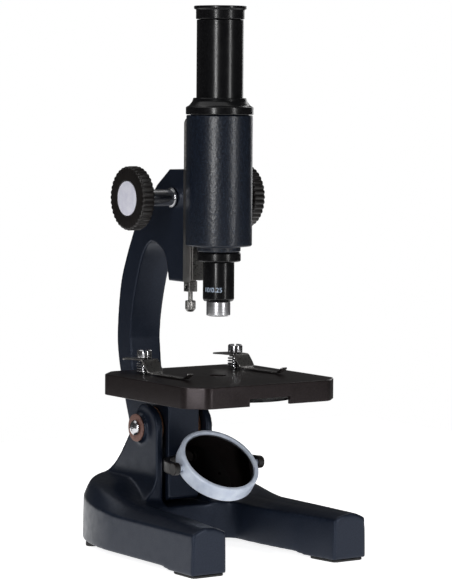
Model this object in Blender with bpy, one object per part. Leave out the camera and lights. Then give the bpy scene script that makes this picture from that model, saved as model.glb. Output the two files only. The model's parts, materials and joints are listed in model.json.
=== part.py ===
"""A school microscope: horseshoe base, tilting arm with stage, rack-focused tube and mirror.

Every size below is in millimetres. The design axes have their origin where the optical
axis meets the table: X to the right, Y from the open feet back to the arm, Z up.
Meshes are written in metres about the middle of the base's footprint.
"""
import math

import bmesh
import bpy
from mathutils import Matrix, Vector

MM = 0.001

# ------------------------------------------------------------------ driving sizes, in mm
BASE_FRONT_Y = -55.5
BASE_REAR_Y = 90.0
FOOTPRINT_MIDDLE_Y = (BASE_FRONT_Y + BASE_REAR_Y) / 2
BASE_HALF_WIDTH = 51.5
BASE_ARC_START_Y = 18.0
BASE_EDGE_Z = 21.0
WALL_DRAFT = 0.5
CROWN_FOOT, CROWN_REAR = 3.3, 8.5
CROWN_GROWS_FROM_Y, CROWN_GROWS_OVER = 5.0, 55.0
OUTER_RUN_FOOT, OUTER_RUN_REAR = 10.0, 6.5
INNER_CROWN, INNER_RUN, INNER_SLOPE = 3.3, 10.0, 0.45
EDGE_RISE, EDGE_RISES_FROM_Y = 0.047, 10.0
RIDGE_SOFTNESS = 0.8
HOLLOW_TOP_Z = 15.5
FLARE_R, FLARE_FOOT_Z = 16.3, 21.5
TOE_BOTTOM_Z, BOTTOM_Z = 1.3, 2.5
TOE_ENDS_Y, TOE_STEP_LENGTH = -35.0, 8.5
PAD_GAP = 0.3
GAP = 0.3

PIVOT_Y, PIVOT_Z = 44.8, 59.4
PIVOT_HOLE_R = 3.3
EAR_INNER, EAR_OUTER = 13.2, 17.0
BOSS_R, BOSS_FACE_X = 7.2, 19.0
EAR_FRONT_Y = 29.4
SLOT_FLOOR_Z = 20.6
FRICTION_R = 10.5

ARM_HALF = 9.3
BLOCK_FRONT_Y = 30.5
HEAD_FRONT_Y = 18.1
HEAD_TOP_Z, HEAD_BOTTOM_Z = 191.0, 135.0

STAGE_SIDE = 90.0
STAGE_MIDDLE_Y = -0.4
STAGE_TOP_Z, STAGE_SKIRT_Z = 89.2, 78.8
STAGE_ROOF = 4.0
STAGE_WALL = 2.0
LIGHT_HOLE_R = 4.25
STAGE_SCREW_X, STAGE_SCREW_Y = 15.0, 36.4
SHELF_Z = (80.2, STAGE_TOP_Z - STAGE_ROOF - GAP)

CLIP_X, CLIP_Y = 27.5, 25.0
CLIP_TURN_DEG = {"left": 2.0, "right": 3.5}
CLIP_PLATE_Z = 96.5
CLIP_THICK = 0.8
CLIP_ROCK = 3.8

PINION_Y, PINION_Z = 27.8, 176.9
GEAR_MODULE = 0.6
PINION_TEETH = 12
RACK_TEETH = 24
PITCH_R = GEAR_MODULE * PINION_TEETH / 2
RACK_PITCH_Y = PINION_Y - PITCH_R
PRESSURE_ANGLE = math.radians(20)
TOOTH_AT_PITCH = 0.80
ADDENDUM = 0.42
DEDENDUM = 0.78
PINION_ADDENDUM = 0.45

TUBE_R, TUBE_BORE_R = 16.45, 14.6
TUBE_BOTTOM_Z, TUBE_TOP_Z = 153.75, 218.5
EYEPIECE_R = 11.6
EYEPIECE_TOP_Z = 272.2

SLIDE_Z = (136.0, 217.5)
SLIDE_FRONT_Y, SLIDE_BACK_Y = 16.8, 22.2
SLIDE_NECK_HALF, SLIDE_TAIL_HALF = 4.1, 6.4
CHANNEL_HALF, CHANNEL_BACK_Y = 3.4, 26.8

KNOB_R = 16.0
KNOB_X = (29.65, 36.65)
KNOB_RIDGES, RIDGE_DEPTH = 36, 0.7
SHAFT_R = 2.2
SLEEVE_R = 4.2

DISC_Y, DISC_R = -19.6, 26.5
DISC_Z = (80.5, 81.7)

MIRROR_X, MIRROR_Y, MIRROR_Z = -1.8, -2.6, 44.5
MIRROR_TILT = math.radians(39.8)
CELL_R = 20.9
YOKE_BORE_R, YOKE_R = 23.6, 26.6
PIN_END = 25.4

STOP_Y = 25.2

MITRE_LIMIT = 2.0

# Facets round a turned piece, by its size.
COARSE, MEDIUM, FINE, FINEST = 12, 18, 24, 36

# ------------------------------------------------------------------------- materials
FINISHES = {
    "blue_hammertone": ((0.085, 0.100, 0.150), 0.38, 0.45),
    "blue_satin": ((0.075, 0.082, 0.115), 0.42, 0.30),
    "black_metal": ((0.020, 0.020, 0.022), 0.30, 0.20),
    "stage_black": ((0.040, 0.034, 0.034), 0.45, 0.10),
    "black_plastic": ((0.022, 0.018, 0.017), 0.40, 0.00),
    "mirror_plastic": ((0.62, 0.66, 0.76), 0.30, 0.00),
    "cap_white": ((0.74, 0.73, 0.80), 0.35, 0.00),
    "chrome": ((0.80, 0.80, 0.82), 0.10, 1.00),
    "steel": ((0.52, 0.51, 0.50), 0.25, 1.00),
    "aluminium": ((0.70, 0.70, 0.72), 0.30, 1.00),
    "bronze": ((0.55, 0.38, 0.30), 0.40, 1.00),
    "rubber": ((0.020, 0.020, 0.020), 0.80, 0.00),
    "fibre": ((0.30, 0.14, 0.08), 0.80, 0.00),
    "glass": ((0.85, 0.90, 0.92), 0.05, 0.00),
    "mirror_glass": ((0.75, 0.77, 0.80), 0.03, 1.00),
}


def clip_hinge(x, word):
    """A clip rocks on the front edge of its screw's head, square to the clip."""
    turn = math.radians(CLIP_TURN_DEG[word])
    return (x + CLIP_ROCK * math.sin(turn), CLIP_Y - CLIP_ROCK * math.cos(turn),
            CLIP_PLATE_Z + 0.7)


# Each moving body hangs on an empty at its joint. Values are design millimetres.
BODY_PIVOTS = {
    "base": (0, 0, 0),
    "arm": (0, PIVOT_Y, PIVOT_Z),
    "tube": (0, SLIDE_BACK_Y, PINION_Z),
    "focus_knobs": (0, PINION_Y, PINION_Z),
    "eyepiece": (0, 0, 227.0),
    "diaphragm": (0, DISC_Y, DISC_Z[0]),
    "mirror_yoke": (MIRROR_X, BLOCK_FRONT_Y, MIRROR_Z),
    "mirror": (MIRROR_X, MIRROR_Y, MIRROR_Z),
    "clip_swivel_left": (-CLIP_X, CLIP_Y, STAGE_TOP_Z),
    "clip_swivel_right": (CLIP_X, CLIP_Y, STAGE_TOP_Z),
    "clip_left": clip_hinge(-CLIP_X, "left"),
    "clip_right": clip_hinge(CLIP_X, "right"),
    "stop_screw": (0, STOP_Y, 125.0),
    "stop_head": (0, STOP_Y, 122.0),
}
PARENTS = {
    "arm": "base", "tube": "arm", "focus_knobs": "arm", "eyepiece": "tube", "diaphragm": "arm",
    "mirror_yoke": "arm", "mirror": "mirror_yoke", "clip_swivel_left": "arm",
    "clip_swivel_right": "arm", "clip_left": "clip_swivel_left",
    "clip_right": "clip_swivel_right", "stop_screw": "arm", "stop_head": "stop_screw",
}


def world(point):
    """Design millimetres to metres about the middle of the footprint."""
    x, y, z = point
    return Vector((x, y - FOOTPRINT_MIDDLE_Y, z)) * MM


# ------------------------------------------------------------------ outlines and shapes
def arc(centre, radius, start_deg, end_deg, steps):
    """Points along an arc, both ends included."""
    points = []
    for i in range(steps + 1):
        a = math.radians(start_deg + (end_deg - start_deg) * i / steps)
        points.append((centre[0] + radius * math.cos(a), centre[1] + radius * math.sin(a)))
    return points


def rounded(corners, radius, steps=4):
    """A closed outline with every corner rounded; radius is a number or one per corner."""
    count = len(corners)
    radii = [radius] * count if isinstance(radius, (int, float)) else radius
    points = []
    for i, corner in enumerate(corners):
        here = Vector(corner)
        before = (Vector(corners[i - 1]) - here).normalized()
        after = (Vector(corners[(i + 1) % count]) - here).normalized()
        if radii[i] <= 0:
            points.append(tuple(here))
            continue
        half = before.angle(after) / 2
        reach = radii[i] / math.tan(half)
        start, end = here + before * reach, here + after * reach
        middle = here + (before + after).normalized() * (radii[i] / math.sin(half))
        first = math.atan2(*(start - middle).yx)
        turn = math.atan2(*(end - middle).yx) - first
        turn = (turn + math.pi) % (2 * math.pi) - math.pi
        points += arc(middle, radii[i], math.degrees(first), math.degrees(first + turn), steps)
    return points


def smooth_through(points, per_span=4):
    """A Catmull-Rom curve through a few points, end points included."""
    path = [Vector(p) for p in points]
    path = [path[0] * 2 - path[1]] + path + [path[-1] * 2 - path[-2]]
    result = []
    for i in range(1, len(path) - 2):
        a, b, c, d = path[i - 1], path[i], path[i + 1], path[i + 2]
        for k in range(per_span):
            t = k / per_span
            result.append(tuple(0.5 * (2 * b + (c - a) * t + (2 * a - 5 * b + 4 * c - d) * t * t
                                       + (3 * b - a - 3 * c + d) * t ** 3)))
    result.append(tuple(path[-2]))
    return result


def inset(outline, distance):
    """The outline moved inwards, for an anticlockwise outline, with its mitres limited."""
    count = len(outline)
    moved = []
    for i in range(count):
        here = Vector(outline[i])
        a = (here - Vector(outline[i - 1])).normalized()
        b = (Vector(outline[(i + 1) % count]) - here).normalized()
        normal = Vector((-(a.y + b.y), a.x + b.x))
        normal.normalize()
        stretch = min(MITRE_LIMIT, 1.0 / max(1 / MITRE_LIMIT, normal.dot(Vector((-a.y, a.x)))))
        moved.append(tuple(here + normal * distance * stretch))
    return moved


def anticlockwise(outline):
    area = sum(outline[i - 1][0] * p[1] - p[0] * outline[i - 1][1] for i, p in enumerate(outline))
    return list(outline) if area > 0 else list(reversed(outline))


def on_axis(axis, a, b, along):
    """A point from two section values and a height along the axis X, Y or Z."""
    return {"X": (along, a, b), "Y": (a, along, b), "Z": (a, b, along)}[axis]


def prism(outline, low, high, axis="Z", edge_low=0.0, edge_high=0.0, edge_steps=3):
    """An outline extruded from low to high, with its end edges rounded over."""
    outline = anticlockwise(outline)
    turns = [math.pi / 2 * k / edge_steps for k in range(edge_steps + 1)]
    bottom = [(low + edge_low * (1 - math.cos(a)), edge_low * (1 - math.sin(a))) for a in turns]
    top = [(high - edge_high * (1 - math.cos(a)), edge_high * (1 - math.sin(a)))
           for a in reversed(turns)]
    bottom = bottom if edge_low else [(low, 0.0)]
    top = top if edge_high else [(high, 0.0)]
    rings = []
    for height, inwards in bottom + top:
        section = inset(outline, inwards) if inwards else outline
        rings.append([on_axis(axis, p[0], p[1], height) for p in section])
    return loft(rings)


def loft(rings, closed=False):
    """Rings of equal length joined by quads, capped at both ends unless closed."""
    count = len(rings[0])
    points = [p for ring in rings for p in ring]
    faces = []
    spans = len(rings) if closed else len(rings) - 1
    for r in range(spans):
        a, b = r * count, ((r + 1) % len(rings)) * count
        for i in range(count):
            j = (i + 1) % count
            faces.append((a + i, a + j, b + j, b + i))
    if not closed:
        faces.append(tuple(range(count)))
        faces.append(tuple(range(len(points) - count, len(points))))
    return points, faces


def turned(profile, centre=(0, 0), axis="Z", segments=FINEST, hollow=False):
    """A profile of (radius, height) turned about an axis; radius 0 closes on a pole."""
    points, rings, faces = [], [], []
    for radius, height in profile:
        if radius < 1e-6:
            rings.append([len(points)])
            points.append(on_axis(axis, centre[0], centre[1], height))
            continue
        rings.append(list(range(len(points), len(points) + segments)))
        for a, b in arc(centre, radius, 0, 360 * (segments - 1) / segments, segments - 1):
            points.append(on_axis(axis, a, b, height))
    spans = len(rings) if hollow else len(rings) - 1
    for r in range(spans):
        low, high = rings[r], rings[(r + 1) % len(rings)]
        for i in range(segments):
            j = (i + 1) % segments
            if len(low) == 1:
                faces.append((low[0], high[j], high[i]))
            elif len(high) == 1:
                faces.append((low[i], low[j], high[0]))
            else:
                faces.append((low[i], low[j], high[j], high[i]))
    return points, faces


def rod(radius, low, high, centre=(0, 0), axis="Z", segments=COARSE):
    return turned([(0, low), (radius, low), (radius, high), (0, high)], centre, axis, segments)


def box(low, high):
    corners = [(low[0], low[1]), (high[0], low[1]), (high[0], high[1]), (low[0], high[1])]
    return prism(corners, low[2], high[2])


def tube_along(path, radius, sides=8):
    """A round wire along a path of points."""
    path = [Vector(p) for p in path]
    rings = []
    side = Vector((0, 0, 1))
    for i, point in enumerate(path):
        ahead = path[min(i + 1, len(path) - 1)] - path[max(i - 1, 0)]
        ahead.normalize()
        side = (side - ahead * side.dot(ahead)).normalized()
        up = ahead.cross(side)
        rings.append([tuple(point + (side * math.cos(a) + up * math.sin(a)) * radius)
                      for a in (2 * math.pi * k / sides for k in range(sides))])
    return loft(rings)


def turn_shape(shape, matrix, about):
    """A shape turned about a point by a rotation matrix."""
    middle = Vector(about)
    return [tuple(matrix @ (Vector(p) - middle) + middle) for p in shape[0]], shape[1]


def merged(shapes):
    """Several separate shapes as one list of points and faces, for cutters."""
    points, faces = [], []
    for shape_points, shape_faces in shapes:
        start = len(points)
        points += shape_points
        faces += [tuple(start + i for i in face) for face in shape_faces]
    return points, faces


# ----------------------------------------------------------------------- scene objects
def material(finish):
    if finish in bpy.data.materials:
        return bpy.data.materials[finish]
    colour, roughness, metallic = FINISHES[finish]
    result = bpy.data.materials.new(finish)
    result.use_nodes = True
    shader = result.node_tree.nodes["Principled BSDF"]
    shader.inputs["Base Color"].default_value = (*colour, 1.0)
    shader.inputs["Roughness"].default_value = roughness
    shader.inputs["Metallic"].default_value = metallic
    result.diffuse_color = (*colour, 1.0)
    return result


def add(name, shape, finish, body, sharp_deg=35):
    """One named solid, parented to its body's empty, with its origin on that joint."""
    origin = world(BODY_PIVOTS[body])
    bm = bmesh.new()
    corners = [bm.verts.new(world(p) - origin) for p in shape[0]]
    for face in shape[1]:
        bm.faces.new([corners[i] for i in face])
    bmesh.ops.recalc_face_normals(bm, faces=bm.faces)
    if bm.calc_volume(signed=True) < 0:
        bmesh.ops.reverse_faces(bm, faces=bm.faces)
    mesh = bpy.data.meshes.new(name)
    bm.to_mesh(mesh)
    bm.free()
    mesh.shade_smooth()
    mesh.set_sharp_from_angle(angle=math.radians(sharp_deg))
    mesh.materials.append(material(finish))
    result = bpy.data.objects.new(name, mesh)
    bpy.context.scene.collection.objects.link(result)
    result.parent = bpy.data.objects[body + "_joint"]
    return result


def boolean(target, operation, shape, body):
    """Cut, join or intersect a solid with a helper shape that the build leaves out."""
    name = "tool_%s_%d" % (target.name, len(target.modifiers))
    tool = add(name, shape, "steel", body)
    tool.hide_render = True
    tool.display_type = "WIRE"
    step = target.modifiers.new(operation.lower(), "BOOLEAN")
    step.operation = operation
    step.solver = "EXACT"
    step.object = tool


def add_joint_empties():
    for body, pivot in BODY_PIVOTS.items():
        empty = bpy.data.objects.new(body + "_joint", None)
        empty.empty_display_size = 0.01
        bpy.context.scene.collection.objects.link(empty)
        if body in PARENTS:
            empty.parent = bpy.data.objects[PARENTS[body] + "_joint"]
            empty.location = world(pivot) - world(BODY_PIVOTS[PARENTS[body]])
        else:
            empty.location = world(pivot)


# ------------------------------------------------------------------------------- base
def smoothstep(value):
    t = min(1.0, max(0.0, value))
    return t * t * (3 - 2 * t)


def base_stations():
    """Pairs of outer and inner outline points, from the left foot round to the right."""
    arc_length = BASE_REAR_Y - BASE_ARC_START_Y
    inner = smooth_through([(31.8, BASE_FRONT_Y), (30.2, -44), (28.6, -35), (26.6, -25),
                            (24.9, -11), (23.8, 4), (23.7, 14)], 2)
    straight = []
    for k, (x, y) in enumerate(inner):
        share = k / (len(inner) - 1)
        straight.append((BASE_FRONT_Y + share * (BASE_ARC_START_Y - BASE_FRONT_Y), x, y))
    left = [((-BASE_HALF_WIDTH, oy), (-x, y)) for oy, x, y in straight]
    right = [((BASE_HALF_WIDTH, oy), (x, y)) for oy, x, y in reversed(straight)]
    bend = []
    steps = 18
    for k in range(1, steps):
        a = math.pi * (1 - k / steps)
        outer = (BASE_HALF_WIDTH * math.cos(a), BASE_ARC_START_Y + arc_length * math.sin(a))
        squarish = 0.75
        c, s = math.cos(a), math.sin(a)
        inner_end = (23.7 * math.copysign(abs(c) ** squarish, c), 14 + 11 * s ** squarish)
        bend.append((outer, inner_end))
    return left + bend + right


def base_top(outer, inner, share):
    """Height of the crowned top at a share of the way from the outer to the inner edge.

    An outer and an inner slope each rise from their edge, and the lower of the two
    is the surface, with the ridge between them softened.
    """
    width = math.dist(outer, inner)
    rear = smoothstep((outer[1] - CROWN_GROWS_FROM_Y) / CROWN_GROWS_OVER)
    from_outer, from_inner = share * width, (1 - share) * width
    crown = CROWN_FOOT + (CROWN_REAR - CROWN_FOOT) * rear
    run = OUTER_RUN_FOOT + (OUTER_RUN_REAR - OUTER_RUN_FOOT) * rear
    edge_z = BASE_EDGE_Z + EDGE_RISE * max(0, outer[1] - EDGE_RISES_FROM_Y)
    outer_z = edge_z + crown * math.sin(math.pi / 2 * min(1, from_outer / run))
    inner_z = (BASE_EDGE_Z + INNER_CROWN * math.sin(math.pi / 2 * min(1, from_inner / INNER_RUN))
               + INNER_SLOPE * max(0, from_inner - INNER_RUN))
    blend = math.exp(-outer_z / RIDGE_SOFTNESS) + math.exp(-inner_z / RIDGE_SOFTNESS)
    return -RIDGE_SOFTNESS * math.log(blend)


def base_bottom(y):
    """The casting's underside: lower under the front ends of the feet."""
    share = smoothstep((y - TOE_ENDS_Y) / TOE_STEP_LENGTH)
    return TOE_BOTTOM_Z + (BOTTOM_Z - TOE_BOTTOM_Z) * share


def base_blank():
    """The horseshoe as one closed strip: top, both walls, underside and foot ends."""
    shares = [0, 0.04, 0.11, 0.22, 0.38, 0.55, 0.73, 0.88, 0.97, 1]
    rings = []
    for outer, inner in base_stations():
        across = (Vector(inner) - Vector(outer)).normalized() * WALL_DRAFT
        ring = []
        for share in shares:
            flat = Vector(outer).lerp(Vector(inner), share)
            flat += across * (1 - share) - across * share
            ring.append((flat.x, flat.y, base_top(outer, inner, share)))
        ring.append((inner[0], inner[1], base_bottom(inner[1])))
        ring.append((outer[0], outer[1], base_bottom(outer[1])))
        rings.append(ring)
    return loft(rings)


def ear_section():
    """Front view of both ears with their flared roots, filled between them."""
    root_x = EAR_OUTER + FLARE_R
    buried_z, above_z = 12, 76
    left = arc((-root_x, FLARE_FOOT_Z + FLARE_R), FLARE_R, -90, 0, 5)
    right = [(-x, z) for x, z in reversed(left)]
    top = [(-EAR_OUTER, above_z), (EAR_OUTER, above_z)]
    return [(-root_x, buried_z)] + left + top + right + [(root_x, buried_z)]


def ear_side_profile():
    """Side view of the ears: upright front, round top, hollow rear slope."""
    top = smooth_through([(EAR_FRONT_Y, 60.5), (31.0, 65.2), (35.0, 69.2), (40.5, 71.5), (45.6, 71.0),
                          (49.5, 66.5), (53.2, 59.3), (61.5, 47.8), (68, 40.3), (76, 34.2),
                          (84, 29.5), (88, 26)], 2)
    return top + [(88, 11), (EAR_FRONT_Y, 11)]


def build_base():
    casting = add("base_casting", base_blank(), "blue_satin", "base")
    ears = add("tool_ears", prism(ear_section(), EAR_FRONT_Y + 0.01, 95, "Y"), "steel", "base")
    ears.hide_render = True
    ears.display_type = "WIRE"
    boolean(ears, "INTERSECT", prism(ear_side_profile(), -45, 45, "X"), "base")
    outline = [outer for outer, inner in base_stations()]
    boolean(ears, "INTERSECT", prism(inset(anticlockwise(outline), 4.0), 13, 80), "base")
    boss = rod(BOSS_R, -BOSS_FACE_X, BOSS_FACE_X, (PIVOT_Y, PIVOT_Z), "X", MEDIUM)
    boolean(ears, "UNION", boss, "base")
    boolean(ears, "DIFFERENCE", rod(PIVOT_HOLE_R, -30, 30, (PIVOT_Y, PIVOT_Z), "X"), "base")
    join = casting.modifiers.new("ears", "BOOLEAN")
    join.operation = "UNION"
    join.solver = "EXACT"
    join.object = ears
    slot = prism(rounded([(-EAR_INNER, 19.5), (EAR_INNER, 19.5), (EAR_INNER, 73), (-EAR_INNER, 73)],
                         [0, 0, 5, 5]), SLOT_FLOOR_Z, 90)
    boolean(casting, "DIFFERENCE", slot, "base")
    hollows = []
    for side in (-1, 1):
        foot = [(side * 47.5, -32), (side * 47.5, 17), (side * 28.5, 17), (side * 29.5, -12),
                (side * 32, -32)]
        hollows.append(prism(rounded(anticlockwise(foot), 3, 1), -2, HOLLOW_TOP_Z))
        rear = [(side * 46.5, 21), (side * 37, 50), (side * 27, 69), (side * 18, 69),
                (side * 21, 48), (side * 27, 21)]
        hollows.append(prism(rounded(anticlockwise(rear), 2.5, 1), -2, HOLLOW_TOP_Z))
    middle = [(-14.5, 52), (14.5, 52), (11.5, 80), (-11.5, 80)]
    hollows.append(prism(rounded(middle, 3, 1), -2, HOLLOW_TOP_Z))
    front = [(-16.5, 29), (16.5, 29), (16.5, 48), (-16.5, 48)]
    hollows.append(prism(rounded(front, 3, 1), -2, HOLLOW_TOP_Z))
    boolean(casting, "DIFFERENCE", merged(hollows), "base")

    for side, word in ((-1, "left"), (1, "right")):
        front_pad = [(side * 50.4, -54.8), (side * 32.6, -54.8), (side * 30.1, -36.5),
                     (side * 50.4, -36.5)]
        add("foot_pad_front_" + word,
            prism(rounded(anticlockwise(front_pad), 2, 2), 0, TOE_BOTTOM_Z - PAD_GAP,
                  edge_low=0.3, edge_steps=1), "rubber", "base")
        rear_pad = [(0, 0), (2.8, 0), (3.1, 0.4), (3.1, 2.2), (0, 2.2)]
        add("foot_pad_rear_" + word, turned(rear_pad, (side * 42, 51), segments=COARSE),
            "rubber", "base")

    washer_x = BOSS_FACE_X + GAP
    head_x = washer_x + 0.95
    bolt = [(0, -head_x - 2.25), (1.6, -head_x - 2.05), (3.0, -head_x - 1.45),
            (3.9, -head_x - 0.55), (3.9, -head_x), (3.0, -head_x), (3.0, 22.9), (2.6, 23.3),
            (0, 23.3)]
    add("pivot_bolt", turned(bolt, (PIVOT_Y, PIVOT_Z), "X", COARSE), "chrome", "base")
    for side, word in ((-1, "left"), (1, "right")):
        near, far = side * washer_x, side * (washer_x + 0.65)
        ring = [(PIVOT_HOLE_R, near), (7.1, near), (7.1, far), (PIVOT_HOLE_R, far)]
        add("pivot_washer_" + word, turned(ring, (PIVOT_Y, PIVOT_Z), "X", MEDIUM, True),
            "bronze", "base")
    hexagon = arc((PIVOT_Y, PIVOT_Z), 5.6, 0, 300, 5)
    nut = add("pivot_nut", prism(hexagon, head_x, head_x + 2.45, "X"), "chrome", "base")
    boolean(nut, "DIFFERENCE", rod(PIVOT_HOLE_R, 15, 25, (PIVOT_Y, PIVOT_Z), "X"), "base")


# -------------------------------------------------------------------------------- arm
def arm_profile():
    """Side view of the casting: head, curved limb and the block between the ears."""
    rear = smooth_through([(64.7, 158.3), (71.4, 145.0), (77.0, 130.0), (79.9, 107.0),
                           (78.6, 91.5), (72.4, 71.0), (67.2, 56.0)], 3)
    heel = smooth_through([(67.2, 56.0), (65.6, 40.0), (59.0, 28.5), (49.0, 23.2)], 2)
    arch = smooth_through([(67.6, 103.0), (66.4, 114.0), (63.2, 127.5), (58.0, 142.5),
                           (52.8, 150.6), (46.8, 153.8), (39.0, 151.2), (34.2, 146.0),
                           (31.8, 136.5)], 2)
    shelf = [(30.5, 78.3), (62.0, 78.3), (66.0, 88.5)]
    head = [(31.6, HEAD_BOTTOM_Z), (HEAD_FRONT_Y, HEAD_BOTTOM_Z), (HEAD_FRONT_Y, HEAD_TOP_Z),
            (31.3, HEAD_TOP_Z), (43.0, 182.7)]
    return rear + heel[1:] + [(32.0, 23.0), (BLOCK_FRONT_Y, 24.5)] + shelf + arch + head


def build_arm():
    arm = add("arm_casting", prism(arm_profile(), -ARM_HALF, ARM_HALF, "X", 1.1, 1.1, 1),
              "blue_satin", "arm")
    flange = [(-20, 31.0), (20, 31.0), (20, 41.8), (-20, 41.8)]
    boolean(arm, "UNION", prism(rounded(flange, 2, 2), SHELF_Z[0], SHELF_Z[1]), "arm")
    boolean(arm, "UNION", box((-8.0, 31.5, 70.0), (8.0, 41.0, 82.5)), "arm")
    neck, tail = SLIDE_NECK_HALF + GAP, SLIDE_TAIL_HALF + GAP
    groove = [(-neck, 10), (neck, 10), (neck, 18.4), (tail, 22.0), (tail, SLIDE_BACK_Y + GAP),
              (CHANNEL_HALF, SLIDE_BACK_Y + GAP), (CHANNEL_HALF, CHANNEL_BACK_Y),
              (-CHANNEL_HALF, CHANNEL_BACK_Y), (-CHANNEL_HALF, SLIDE_BACK_Y + GAP),
              (-tail, SLIDE_BACK_Y + GAP), (-tail, 22.0), (-neck, 18.4)]
    boolean(arm, "DIFFERENCE", prism(groove, 120, 200), "arm")
    boolean(arm, "DIFFERENCE", rod(4.6, -15, 15, (PINION_Y, PINION_Z), "X", MEDIUM), "arm")
    holes = [rod(PIVOT_HOLE_R, -15, 15, (PIVOT_Y, PIVOT_Z), "X"),
             rod(2.8, 25, 40, (MIRROR_X, MIRROR_Z), "Y")]
    holes += [rod(1.8, 78, 88, (side * STAGE_SCREW_X, STAGE_SCREW_Y)) for side in (-1, 1)]
    boolean(arm, "DIFFERENCE", merged(holes), "arm")

    for side, word in ((-1, "left"), (1, "right")):
        sleeve = [(2.5, side * 5.0), (SLEEVE_R, side * 5.0), (SLEEVE_R, side * 9.6),
                  (4.9, side * 9.6), (4.9, side * 10.8), (SLEEVE_R, side * 10.8),
                  (SLEEVE_R, side * 29.0), (2.5, side * 29.0)]
        add("pinion_sleeve_" + word, turned(sleeve, (PINION_Y, PINION_Z), "X", MEDIUM, True),
            "chrome", "arm")
        washer = [(3.4, side * 9.6), (FRICTION_R, side * 9.6), (FRICTION_R, side * 12.9),
                  (3.4, side * 12.9)]
        add("friction_washer_" + word, turned(washer, (PIVOT_Y, PIVOT_Z), "X", MEDIUM, True),
            "fibre", "arm")
        screw = [(0, 76.9), (2.8, 77.0), (2.8, 79.9), (1.4, 79.9), (1.4, 87.6), (0, 87.6)]
        add("stage_screw_" + word, turned(screw, (side * STAGE_SCREW_X, STAGE_SCREW_Y),
                                            segments=COARSE), "steel", "arm")

    block = [(-2.6, 22.6), (2.6, 22.6), (2.6, 27.8), (-2.6, 27.8)]
    stop_block = add("stop_block", prism(rounded(block, 0.5, 2), 129.4, HEAD_BOTTOM_Z - GAP),
                     "steel", "arm")
    boolean(stop_block, "UNION", box((-2.1, 23.2, 133.0), (2.1, 26.4, 138.0)), "arm")
    grub_z = 131.8
    drill = merged([rod(1.5, 125, 140, (0, STOP_Y)),
                    rod(1.15, -4, -1.9, (STOP_Y, grub_z), "X"),
                    rod(0.5, -2.2, -1.2, (STOP_Y, grub_z), "X")])
    boolean(stop_block, "DIFFERENCE", drill, "arm")
    add("stop_lock_screw", rod(0.85, -2.55, -2.2, (STOP_Y, grub_z), "X"), "black_metal", "arm")


def build_stage():
    half = STAGE_SIDE / 2
    front, rear = STAGE_MIDDLE_Y - half, STAGE_MIDDLE_Y + half
    chamfer_front, chamfer_rear = 9.1, 9.8
    corners = [(-half + chamfer_front, front), (half - chamfer_front, front),
               (half, front + chamfer_front), (half, rear - chamfer_rear),
               (half - chamfer_rear, rear), (-half + chamfer_rear, rear),
               (-half, rear - chamfer_rear), (-half, front + chamfer_front)]
    outline = rounded(corners, 3.5, 3)
    stage = add("stage_plate", prism(outline, STAGE_SKIRT_Z, STAGE_TOP_Z, edge_high=0.6,
                                     edge_steps=2), "stage_black", "arm")
    roof_z = STAGE_TOP_Z - STAGE_ROOF
    cavity = prism(inset(anticlockwise(outline), STAGE_WALL), STAGE_SKIRT_Z - 5, roof_z)
    boolean(stage, "DIFFERENCE", cavity, "arm")
    notch = box((-12, front - 3, STAGE_SKIRT_Z - 3), (12, front + 3.5, 82.5))
    boolean(stage, "DIFFERENCE", notch, "arm")
    holes = [rod(LIGHT_HOLE_R, roof_z - 3, STAGE_TOP_Z + 3, segments=MEDIUM),
             rod(1.6, roof_z - 3, roof_z + 3.2, (0, DISC_Y))]
    for side in (-1, 1):
        holes.append(rod(1.8, roof_z - 3, STAGE_TOP_Z + 3, (side * CLIP_X, CLIP_Y)))
        holes.append(rod(1.7, roof_z - 3, roof_z + 2.9, (side * STAGE_SCREW_X, STAGE_SCREW_Y)))
    boolean(stage, "DIFFERENCE", merged(holes), "arm")

    disc = add("diaphragm_disc", turned([(0, DISC_Z[0]), (DISC_R, DISC_Z[0]), (DISC_R, DISC_Z[1]),
                                         (0, DISC_Z[1])], (0, DISC_Y), segments=FINEST),
               "black_metal", "diaphragm")
    apertures = [rod(2.4, 78, 84, (0, DISC_Y))]
    reach = -DISC_Y
    for k, radius in enumerate((4.1, 3.2, 2.4, 1.7, 1.1)):
        a = math.radians(90 + 72 * k)
        centre = (reach * math.cos(a), DISC_Y + reach * math.sin(a))
        apertures.append(rod(radius, 78, 84, centre))
    boolean(disc, "DIFFERENCE", merged(apertures), "diaphragm")
    pin = [(0, 78.9), (3.6, 79.1), (3.6, 80.2), (2.0, 80.2), (2.0, 84.9), (1.3, 84.9),
           (1.3, 88.0), (0, 88.0)]
    add("diaphragm_screw", turned(pin, (0, DISC_Y), segments=COARSE), "steel", "arm")


# -------------------------------------------------------------------------------- clips
def clip_plate():
    """Spring-steel clip: round thumb tab, wide bend and a narrow strip with a curled tip."""
    tab_r, tab_y = 5.2, 10.2
    path = [(tab_y + tab_r * math.sin(a), 95.75 + 0.85 * (1 - math.sin(a)) * 0.5,
             tab_r * math.cos(a)) for a in (math.radians(d) for d in (84, 66, 45, 22, 0))]
    path += [(6.0, 96.35, 5.0), (1.0, CLIP_PLATE_Z, 5.0), (-3.4, CLIP_PLATE_Z, 5.0),
             (-5.2, 95.9, 5.0), (-8.8, 91.9, 4.9), (-10.0, 90.7, 4.3), (-11.4, 90.15, 2.6),
             (-13.0, 90.0, 2.2), (-26.0, 89.97, 1.9), (-34.6, 89.95, 1.7), (-36.6, 90.5, 1.75),
             (-39.4, 92.2, 1.9), (-40.4, 92.7, 1.3)]
    rings = []
    for i, (y, z, half) in enumerate(path):
        before, after = path[max(i - 1, 0)], path[min(i + 1, len(path) - 1)]
        along = Vector((after[0] - before[0], after[1] - before[1])).normalized()
        up = Vector((along.y, -along.x)) * (CLIP_THICK / 2)
        rings.append([(-half, y - up.x, z - up.y), (half, y - up.x, z - up.y),
                      (half, y + up.x, z + up.y), (-half, y + up.x, z + up.y)])
    return loft(rings)


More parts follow.
